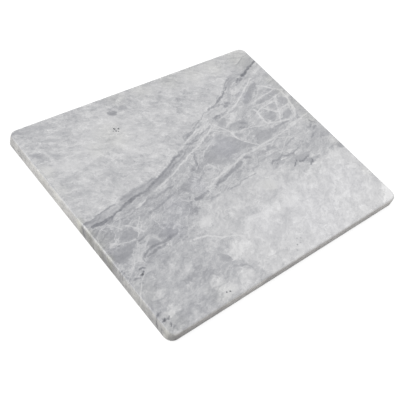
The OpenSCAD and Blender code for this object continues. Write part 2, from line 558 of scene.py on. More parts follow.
# Clouds in the stone, as a shade, x, y and a radius
UPPER_CLOUDS = [
    (187, -230, 190, 14), (190, -195, 178, 12), (191, -240, 165, 12), (183, -238, 143, 7),
    (182, -236, 133, 6), (186, -217, 132, 7), (189, -203, 151, 8), (193, -180, 156, 9), (207, -150, 125, 17),
    (206, -118, 150, 13), (209, -95, 155, 13), (209, -75, 130, 10), (206, -57, 118, 9), (207, -200, 105, 13),
    (206, -158, 108, 12), (208, -100, 112, 10), (208, -58, 98, 8), (208, -85, 79, 8), (191, -160, 92, 8),
    (195, -218, 82, 9), (186, -189, 87, 3), (195, -172, 78, 7), (192, -38, 168, 11), (195, -15, 150, 12),
    (191, -43, 97, 5), (188, -28, 84, 6), (187, -14, 78, 4), (188, -8, 107, 3), (188, 42, 146, 8),
    (190, 62, 150, 9), (188, 40, 124, 10), (191, 60, 131, 9), (198, 15, 118, 9), (196, 50, 192, 12),
    (207, 112, 157, 8), (193, 100, 148, 6), (203, 150, 183, 24), (204, 90, 175, 18), (199, 190, 189, 10),
    (206, 8, 184, 9), (184, -10, 62, 8), (196, -135, 180, 10), (193, -75, 190, 12), (194, -170, 196, 12),
    (198, -238, 60, 10), (202, 120, 128, 8), (201, 100, 120, 7), (198, 75, 112, 9), (196, 20, 96, 8),
    (189, 38, 84, 7), (203, 0, 128, 9), (199, -30, 130, 9), (200, -60, 72, 7), (193, -110, 60, 12),
    (198, -200, 42, 14), (186, -76, 178, 8), (190, -190, 192, 12), (189, 10, 160, 9), (186, 66, 144, 8),
    (208, -82, 100, 10), (186, -150, 190, 10), (207, 58, 90, 7), (189, -98, 190, 8), (188, 0, 58, 8),
    (206, 145, 150, 8), (182, -32, 178, 9), (188, -220, 158, 8), (206, -102, 92, 9), (190, -158, 54, 8),
    (189, -102, 52, 7), (172, -247, 195, 6), (176, -249, 168, 5), (204, -170, 170, 7), (207, -140, 144, 9),
    (186, -104, 195, 6), (184, -50, 183, 6), (186, -28, 196, 7), (206, -72, 140, 8), (182, -90, 66, 8),
    (186, -72, 53, 6), (205, -112, 80, 7), (207, -172, 30, 7), (205, -150, 28, 6), (206, -184, 54, 7),
    (205, 84, 90, 7),
]
LEFT_CLOUDS = [
    (178, -185, -102, 8), (179, -215, -113, 8), (183, -150, -100, 7), (199, -200, -124, 5),
    (203, -165, -130, 7), (210, -227, -142, 5), (171, -247, -150, 9), (171, -228, -132, 6),
    (176, -235, -158, 8), (176, -150, -133, 7), (173, -150, -147, 4), (174, -175, -144, 4),
    (192, -110, -112, 9), (188, -118, -126, 7), (186, -150, -120, 7), (210, -143, -163, 5),
    (178, -127, -158, 5), (180, -200, -173, 6), (170, -222, -185, 8), (174, -190, -185, 7),
    (185, -165, -180, 6), (207, -140, -186, 10), (204, -100, -180, 9), (189, -73, -178, 5),
    (197, -213, -168, 4), (207, -231, -168, 6), (176, -245, -195, 6), (196, -180, -116, 4),
    (188, -195, -158, 6), (197, -80, -108, 7), (186, -125, -78, 6), (187, -185, -88, 4), (180, -240, -85, 6),
    (188, -225, -80, 4), (209, -102, -186, 11), (200, -122, -188, 8), (206, -84, -134, 9),
    (178, -245, -124, 8), (180, -220, -186, 9), (178, -160, -188, 7), (190, -78, -172, 7),
    (186, -120, -82, 8), (205, -221, -171, 5), (178, -218, -154, 7), (168, -218, -187, 9),
    (176, -242, -140, 7), (180, -182, -186, 7), (172, -240, -155, 9), (176, -226, -157, 7),
    (178, -186, -169, 7), (182, -203, -195, 6), (212, -90, -196, 8), (185, -111, -182, 6),
    (177, -232, -92, 7), (171, -182, -103, 9), (208, -66, -128, 5), (178, -206, -117, 6),
    (168, -246, -83, 6), (173, -227, -90, 6),
]
# The brightest cloud, at the right front corner, is a painted highlight: the sheen there
RIGHT_CLOUDS_AND_CORNER_HIGHLIGHT = [
    (200, -20, -85, 12), (197, 22, -86, 11), (199, 0, -98, 9), (199, 52, -92, 9), (213, 55, -72, 8),
    (196, 102, -80, 7), (193, 130, -77, 8), (218, 14, -114, 7), (218, 40, -106, 6), (217, 62, -116, 11),
    (202, 40, -134, 9), (205, 25, -146, 8), (203, 0, -152, 9), (204, -40, -156, 9), (214, -50, -173, 7),
    (208, -20, -128, 9), (200, -60, -92, 9), (211, -85, -80, 6), (218, 178, -118, 6), (222, 194, -107, 5),
    (204, 186, -115, 2.5), (223, 230, -114, 6), (202, 226, -126, 4), (206, 212, -103, 5), (203, 236, -97, 5),
    (201, 246, -155, 5), (205, 236, -166, 5), (228, 248, -192, 16), (212, 214, -181, 9),
    (218, 150, -165, 14), (217, 100, -172, 16), (219, 172, -150, 10), (219, 128, -113, 6),
    (214, 90, -140, 11), (205, 0, -185, 12), (206, 240, -85, 5), (210, 195, -88, 7), (211, 110, -112, 8),
    (206, 28, -172, 7), (214, 60, -180, 12), (207, 222, -148, 6), (206, 150, -100, 9), (218, 82, -112, 9),
    (200, 30, -140, 10), (199, -46, -110, 8), (214, 186, -72, 7), (212, 216, -72, 7), (220, 185, -165, 9),
    (190, 100, -74, 8), (203, -50, -175, 8), (216, 130, -180, 9), (199, -45, -155, 8), (198, -25, -186, 10),
    (202, -50, -188, 8), (204, 85, -80, 8), (199, -20, -168, 7), (219, 140, -184, 13), (219, 206, -172, 11),
    (218, 174, -187, 9), (198, 50, -92, 6),
]
BROKEN_CLOUDS = [
    (164, -240, -16, 7), (171, -232, -31, 7), (184, -175, -55, 9), (176, -135, -52, 11), (184, -145, -28, 8),
    (184, -105, -36, 9), (197, -60, -55, 7), (196, -25, -58, 9), (199, 30, -57, 10), (201, 78, -52, 9),
    (191, 60, -30, 8), (190, 100, -22, 8), (196, 140, -12, 8), (187, 220, -30, 22), (188, 215, -58, 14),
    (189, 150, -30, 10), (197, 142, 45, 9), (194, 150, 60, 8), (190, 215, 55, 9), (193, 245, 30, 8),
    (197, 240, 98, 8), (190, 210, 122, 8), (184, 245, 125, 7), (199, 235, 145, 7), (192, 120, 75, 9),
    (199, 60, 66, 8), (193, 30, 62, 7), (187, -30, 25, 8), (194, -30, -5, 8), (191, -90, 8, 7),
    (186, -210, -20, 6), (194, 20, -12, 5), (193, 245, 60, 7), (192, 196, 70, 7), (199, 110, 88, 9),
    (171, -238, -36, 11), (176, -215, -52, 9), (175, -152, -54, 14), (178, -78, -36, 11), (177, -60, -6, 9),
    (179, -28, 4, 8), (181, -112, -42, 11), (196, 205, 42, 9), (198, 118, 76, 10), (192, 134, 92, 8),
    (193, -226, -86, 9), (182, 228, -22, 9), (176, -90, -10, 6), (195, -222, -78, 7), (194, -205, -69, 6),
    (193, -236, -86, 7), (171, -91, -41, 7), (168, -86, -56, 6), (171, -90, -66, 6), (170, -122, -52, 9),
    (170, -120, -66, 8), (193, -76, -64, 6), (178, 2, 38, 7), (183, 108, 38, 6), (180, 142, 26, 7),
    (197, 96, 66, 8), (195, 62, 72, 7), (160, -231, -22, 9), (163, -244, -40, 8), (166, -228, -50, 7),
    (174, -56, -27, 8), (168, -132, -47, 10), (196, -90, -65, 6), (200, -80, -68, 6), (198, 55, -28, 6),
    (185, 94, 44, 6),
]
# How each area's clouds run, and how drawn out they are
CLOUDS = [
    ("upper_clouds", 9, 1.8, UPPER_CLOUDS), ("broken_clouds", 14, 1.8, BROKEN_CLOUDS),
    ("left_clouds", 20, 2.2, LEFT_CLOUDS), ("right_clouds_and_corner_highlight", 38, 1.9, RIGHT_CLOUDS_AND_CORNER_HIGHLIGHT),
]
CLOUD_STRENGTH = 0.85
for name, angle, stretch, rows in CLOUDS:
    tone = clouded(name, tone, CLOUDY, angle, stretch, rows, CLOUD_STRENGTH)

# The marble, its mottling and the net of veinlets.
# Grains of calcite and graphite dust give each area its own speckle and streak; in the
# broken area pale calcite has healed the cracks between the fragments.

# The strength of each area's speckle, the way it runs, how drawn out it is, its size and roughness
UPPER_MOTTLE = (112.0, -20, 1.9, 13.0, 0.95)
BROKEN_MOTTLE = (122.0, 14, 2.6, 11.0, 0.97)
LEFT_MOTTLE = (118.0, 20, 2.0, 12.0, 0.93)
RIGHT_MOTTLE = (84.0, 30, 1.6, 13.0, 0.91)
# The share of the speckle that lies under the fragments and veins, and the share over them
MOTTLE_BEFORE, MOTTLE_AFTER = 0.55, 0.45
# The pale clouds are calmer than the grey ones: the tones between which that changes, and how much
CALM_TONE, LIVELY_TONE, CALM, LIVELY = 209.0, 193.0, 0.55, 1.25


def speckle(strength, angle, stretch, size, roughness):
    grains = noise(turned(stone, KNEADED, angle, stretch), size, 4.0, roughness, seed=size + stretch)
    return maths(stone, "MULTIPLY", grains, strength)


low_mottle = mix(stone, on_right, speckle(*LEFT_MOTTLE), speckle(*RIGHT_MOTTLE))
pale_calm = fade(stone, tone, CALM_TONE, LIVELY_TONE, CALM, LIVELY)
mottle = mix(stone, under_broken, maths(stone, "MULTIPLY", speckle(*UPPER_MOTTLE), pale_calm), low_mottle)
mottle = mix(stone, in_broken, mottle, speckle(*BROKEN_MOTTLE))
tone = maths(stone, "MULTIPLY_ADD", mottle, MOTTLE_BEFORE, tone)


PATCH_SIZE, PATCH_LIMITS = 24.0, (-0.06, 0.12)


def veinlets(angle, stretch, size, width, seed):
    """Thin wandering lines, where a noise crosses zero, that come and go."""
    swell = noise(turned(stone, CLOUDY, angle, stretch), size, 2.0, 0.5, seed)
    line = fade(stone, maths(stone, "ABSOLUTE", swell), 0.0, width, 1.0, 0.0)
    shown = patchy(PATCH_SIZE, seed + 0.5, *PATCH_LIMITS, 0.0, 1.0)
    return maths(stone, "MULTIPLY", line, shown)


# How the lines run, how drawn out they are, their size, width and noise, and the change of tone
VEINLETS = [
    (14, 1.8, 24.0, 0.035, 5.0, 12.0), (-30, 1.5, 26.0, 0.03, 6.0, 12.0), (-5, 2.4, 18.0, 0.04, 7.0, -10.0),
]
for *row, change in VEINLETS:
    tone = maths(stone, "MULTIPLY_ADD", veinlets(*row), change, tone)


def cells(place, size, feature):
    """Cells of broken stone about this many millimetres across, seen from above."""
    return add(stone, "ShaderNodeTexVoronoi", feature=feature, voronoi_dimensions="2D",
               named={"Vector": place, "Scale": 1 / size})


def healed(place, size, half, within, shown, shade):
    """Fills the joints between such cells with calcite, where they are shown."""
    joint = fade(stone, cells(place, size, "DISTANCE_TO_EDGE"), 0.0, half, 1.0, 0.0)
    joint = maths(stone, "MULTIPLY", joint, within)
    return mix(stone, maths(stone, "MULTIPLY", joint, shown), tone, shade)


CRACK_SIZE, CRACK_HALF, CRACK_TONE = 22.0, 0.06, 208.0
cracked = add(stone, "ShaderNodeCombineXYZ", *turned(stone, CLOUDY, 16, 1.7))
shown = patchy(26.0, 8.0, -0.08, 0.14, 0.0, 0.55)
tone = healed(cracked, CRACK_SIZE, CRACK_HALF, in_broken, shown, CRACK_TONE)

# Between the fragments lie small chips, each of its own tone, in thin pale joints. The right
# end has a calm patch with hardly any of them
CHIP_SIZE, CHIP_TONES, JOINT_HALF, JOINT_TONE = 9.0, 16.0, 0.08, 212.0
CALM_END = [(130, -22, 10), (160, -16, 18), (190, -8, 20), (220, -2, 26), (256, 4, 34)]
chipped = add(stone, "ShaderNodeCombineXYZ", *turned(stone, RAGGED, 15, 2.0))
chips = cells(chipped, CHIP_SIZE, "F1")
calm = strip(stone, CLOUDY, CALM_END, edge=10.0, taper=20.0, strength=0.75)
chipping = maths(stone, "MULTIPLY", in_broken, maths(stone, "SUBTRACT", 1.0, calm))
own_tone = add(stone, "ShaderNodeSeparateColor", chips.node.outputs["Color"])
own_tone = maths(stone, "SUBTRACT", own_tone, 0.5)
tone = maths(stone, "MULTIPLY_ADD", maths(stone, "MULTIPLY", own_tone, CHIP_TONES), chipping, tone)
shown = patchy(18.0, 9.0, *PATCH_LIMITS, 0.0, 0.6)
tone = healed(chipped, CHIP_SIZE, JOINT_HALF, chipping, shown, JOINT_TONE)

# The marble, its flames.
# Small darker and paler tongues that lie in the pale area above the seam and in the cloudy
# area below the broken one.

# Each one is a shade and its middle line, as x, y and, where it isn't 1, the half width there
FLAMES = [
    (170, [(-249, 148), (-243, 146, 4), (-236, 140, 5), (-231, 131, 4), (-228, 125)]),
    (183, [(-226, 146), (-220, 139, 4.5), (-215, 130, 4.5), (-211, 123)]),
    (185, [(-233, 197), (-218, 196, 4), (-204, 191, 4), (-191, 182)]),
    (184, [(-214, 161), (-200, 159, 4), (-188, 152)]),
    (183, [(-197, 170), (-188, 167, 3), (-181, 162)]),
    (188, [(-190, 134.5, 0.8), (-171, 129.5, 1.3), (-158, 117, 1.3), (-140, 110, 0.8)]),
    (178, [(-191, 89), (-187, 89, 2), (-184, 89)]),
    (187, [(-182, 91), (-168, 93, 5), (-153, 92, 6), (-141, 87)]),
    (191, [(-175, 58), (-170, 64, 2.5), (-160, 68, 3), (-148, 66, 3), (-136, 58)]),
    (187, [(-174, 53), (-163, 53, 2), (-153, 50, 2), (-146, 54)]),
    (186, [(-234, 84), (-218, 83, 4), (-202, 83)]),
    (188, [(-235, 70), (-223, 68, 3), (-211, 63)]),
    (184, [(-234, 55), (-219, 52, 4), (-205, 49, 4), (-196, 41)]),
    (186, [(-245, 34), (-231, 30, 3), (-225, 24)]),
    (192, [(-97, 126), (-86, 117, 1.2), (-75, 112)]),
    (209, [(-248, 114, 4), (-229, 110, 6), (-210, 106, 8), (-192, 101, 8), (-178, 101, 3)]),
    (214, [(-247, 152), (-236, 152.5, 1.6), (-230, 147, 1.6), (-224, 134, 1.6), (-222, 123)]),
    (216, [(-213, 74), (-203, 70, 3), (-196, 68)]),
    (210, [(-195, 49), (-179, 43.5, 1.3), (-167, 35, 1.3), (-155, 33)]),
    (210, [(-182, 86), (-173, 78.5, 1.2), (-160, 76.5)]),
    (172, [(-89, -165, 0.8), (-84, -167, 1.8), (-80, -173, 2), (-77, -182, 0.8)]),
    (216, [(-155, -169), (-148, -167, 6.5), (-141, -168, 7), (-135, -170)]),
    (190, [(-151, -167.5), (-147, -167, 2.5), (-143, -168)]),
    (213, [(-105, -184), (-97, -182, 6), (-88, -182, 7), (-80, -184, 2)]),
    (214, [(-149, -192), (-140, -191, 6), (-130, -189.5, 6), (-120, -188)]),
    (172, [(-228, -180), (-217, -182, 6), (-207, -181, 5), (-199, -180)]),
    (225, [(-24, -108), (-11, -109, 3.5), (8, -112, 4.5), (25, -111)]),
    (222, [(43, -116), (54, -118, 5), (66, -119, 7), (78, -116, 5), (89, -113)]),
    (214, [(31, -68), (42, -68.5, 7), (55, -71, 11), (67, -75.5, 11.5), (77, -79, 6), (83, -81)]),
    (213, [(-242, -145), (-232, -143, 4), (-222, -141.5, 4.5), (-213, -141)]),
    (209, [(-174, -137), (-167, -130, 5), (-160, -127, 3), (-155, -128)]),
    (211, [(-239, -175), (-230, -172, 3), (-218, -168)]),
    (177, [(-251, -142), (-240, -137, 5), (-232, -132, 5), (-227, -127)]),
    (180, [(-202, -146), (-192, -145, 3), (-179, -145)]),
    (223, [(119, -108), (126, -112, 3.5), (132, -119)]),
    (220, [(122, -144), (126, -140, 1.5), (128, -133, 1.5), (129, -128)]),
    (200, [(12, -126), (31, -128, 3.5), (48, -132)]),
    (196, [(-20, -150), (-8, -152, 6), (4, -152, 6), (12, -154)]),
    (200, [(220, -123), (225, -123, 3), (230, -122)]),
    (202, [(225, -134), (230, -134, 3), (236, -134)]),
    (199, [(240, -152), (244, -158, 4), (248, -164)]),
]
tone = painted("flames", tone, RAGGED, alike(FLAMES, 0.75), edge=2.0, taper=2.5)

# The marble, its fragments.
# Darker, bluish pieces of the old rock, with crisp edges, that lie in the broken area. They
# broke out of the dark beds, and the calcite between them cemented them again.

FRAGMENTS = [
    (168, [(-20, 8), (-11, 11, 4.5), (-2, 15, 9), (12, 17, 12), (26, 19, 14.5), (40, 20, 16.5),
        (54, 21.5, 17.5), (68, 20.5, 16.5), (78, 18, 13.5), (86, 12, 9), (94, 7, 5), (102, 2)]),
    (172, [(6, 3, 2), (18, 0, 5), (30, -2, 4), (42, -1, 2)]),
    (167, [(106, 2, 2), (112, 6, 5), (120, 10, 9), (128, 13, 11), (138, 13, 10), (150, 13, 7),
        (165, 14.5, 4), (180, 16.5, 2), (200, 17.3, 0.8)]),
    (174, [(80, 49), (90, 51, 6.5), (100, 50, 8.5), (110, 49, 8.5), (118, 48, 7), (127, 48)]),
    (168, [(84, 34, 2), (90, 33, 4), (95, 32, 2)]),
    (171, [(163, 41, 2), (168, 41.5, 6.5), (176, 41.5, 7.5), (184, 42, 7), (190, 42, 2)]),
    (169, [(190, 27), (198, 29, 4.5), (208, 31, 6.5), (216, 33, 6), (223, 35)]),
    (178, [(186, 64, 2), (194, 62, 6), (202, 58, 6), (207, 54, 2)]),
    (171, [(216, 61, 2), (221, 61, 8), (229, 60, 10), (235, 60, 5), (238, 60, 2)]),
    (173, [(112, 25), (120, 24, 4), (128, 26, 3), (135, 24)]),
    (163, [(151, 87, 2), (157, 89, 5.5), (165, 92, 8), (174, 98, 7.5), (184, 104, 6.5), (194, 110, 5.5),
        (203, 115, 4.5), (209, 118, 1.5)]),
    (177, [(67, 65), (74, 66, 5), (82, 67, 4.5), (90, 69, 2)]),
    (170, [(88, 70), (93, 69, 3), (98, 68)]),
    (161, [(-80, -14, 2), (-75, -13.5, 7), (-70, -13, 8.5), (-65, -12.5, 6.5), (-61, -12, 2)]),
    (159, [(-219, -43, 2), (-213, -41.5, 6), (-206, -41, 8.5), (-199, -41.5, 9), (-193, -42, 5),
        (-190, -44, 2)]),
    (154, [(-250, -60, 4), (-244, -66, 9), (-236, -65.5, 11.5), (-228, -63, 9.5), (-220, -61, 7.5),
        (-212, -58.5, 4), (-204, -56)]),
    (155, [(-166, -64, 2), (-161, -64, 4.5), (-153, -65.5, 6.8), (-146, -66, 5.8), (-140, -67.5, 3),
        (-136, -69)]),
    (163, [(-192, -67.5), (-186, -68.5, 4), (-179, -69.5, 4.5), (-172, -71.5, 2)]),
    (168, [(143, -55, 2), (150, -56, 6), (160, -57, 6), (172, -57, 4), (180, -54)]),
    (166, [(160, -68), (170, -70, 4), (180, -70, 4), (188, -69, 2), (194, -66)]),
    (168, [(240, -68, 2), (246, -72, 5), (256, -72, 5)]),
    (171, [(-112, -142, 2), (-108, -141, 5), (-100, -147, 9), (-94, -149, 7), (-90, -149, 2)]),
    (173, [(-122, -155), (-112, -155, 3), (-100, -155, 3), (-93, -153)]),
    (172, [(172, 76, 1.5), (184, 76, 3.8), (198, 77.5, 5), (211, 79, 5.6), (225, 81, 5), (237, 82, 2)]),
    (172, [(-6, 64, 3), (-2, 66, 3), (4, 69)]),
    (146, [(-90, 169), (-86, 168.5, 4), (-80, 167.5, 4.6), (-75, 167, 4), (-72, 166.5)]),
    (171, [(-67, 170), (-61, 170, 4), (-56, 170, 4.5), (-51, 170, 3)]),
]
tone = painted("fragments", tone, RAGGED, alike(FRAGMENTS, 0.85), edge=2.0, taper=2.0, wear=0.3)

# The marble, its seams.
# The long dark seam of graphite dust that crosses the whole slab, the grey bands beside
# it, and the shorter dark streaks that run nearly the same way.

BANDS = [
    (175, [(-258, 3, 5), (-235, 2, 5), (-215, 4, 6), (-195, 6, 6.5), (-183, 8, 5), (-174, 9, 2)]),
    (166, [(-184, 8, 3), (-172, 12, 5.5), (-160, 15, 6.5), (-148, 17, 7), (-136, 18, 6.5), (-124, 20, 5.5),
        (-112, 22, 4.5), (-101, 26, 2)]),
    (166, [(-140, 6, 2), (-128, 8.5, 3.2), (-118, 11, 4), (-106, 14, 4.4), (-97, 17.5, 4.6), (-88, 21, 4.6),
        (-78, 25.5, 5), (-66, 32, 5), (-54, 38, 4.5), (-45, 42, 3.4), (-36, 45, 2.2), (-26, 48, 1.4),
        (-14, 52, 0.7), (-4, 54, 0.6)]),
    (183, [(146, 132, 2), (160, 140, 7), (180, 147, 6.5), (200, 156, 9), (220, 163, 11), (240, 170, 10.5),
        (258, 176, 9)]),
    (172, [(148, 132), (156, 137, 4), (166, 141, 5), (178, 144, 3)]),
]
tone = painted("bands", tone, RAGGED, alike(BANDS, 0.85), edge=2.4, taper=3.0, wear=0.3)

LONG_SEAM = [
    (-254, 1), (-204, 2), (-178, 7), (-150, 13), (-120, 18), (-94, 23), (-70, 32), (-50, 41), (-26, 49),
    (0, 56), (30, 70), (63, 92), (88, 103), (113, 112), (136, 124), (160, 138), (190, 146), (213, 150),
    (254, 166),
]
SEAM_HALF = 0.8
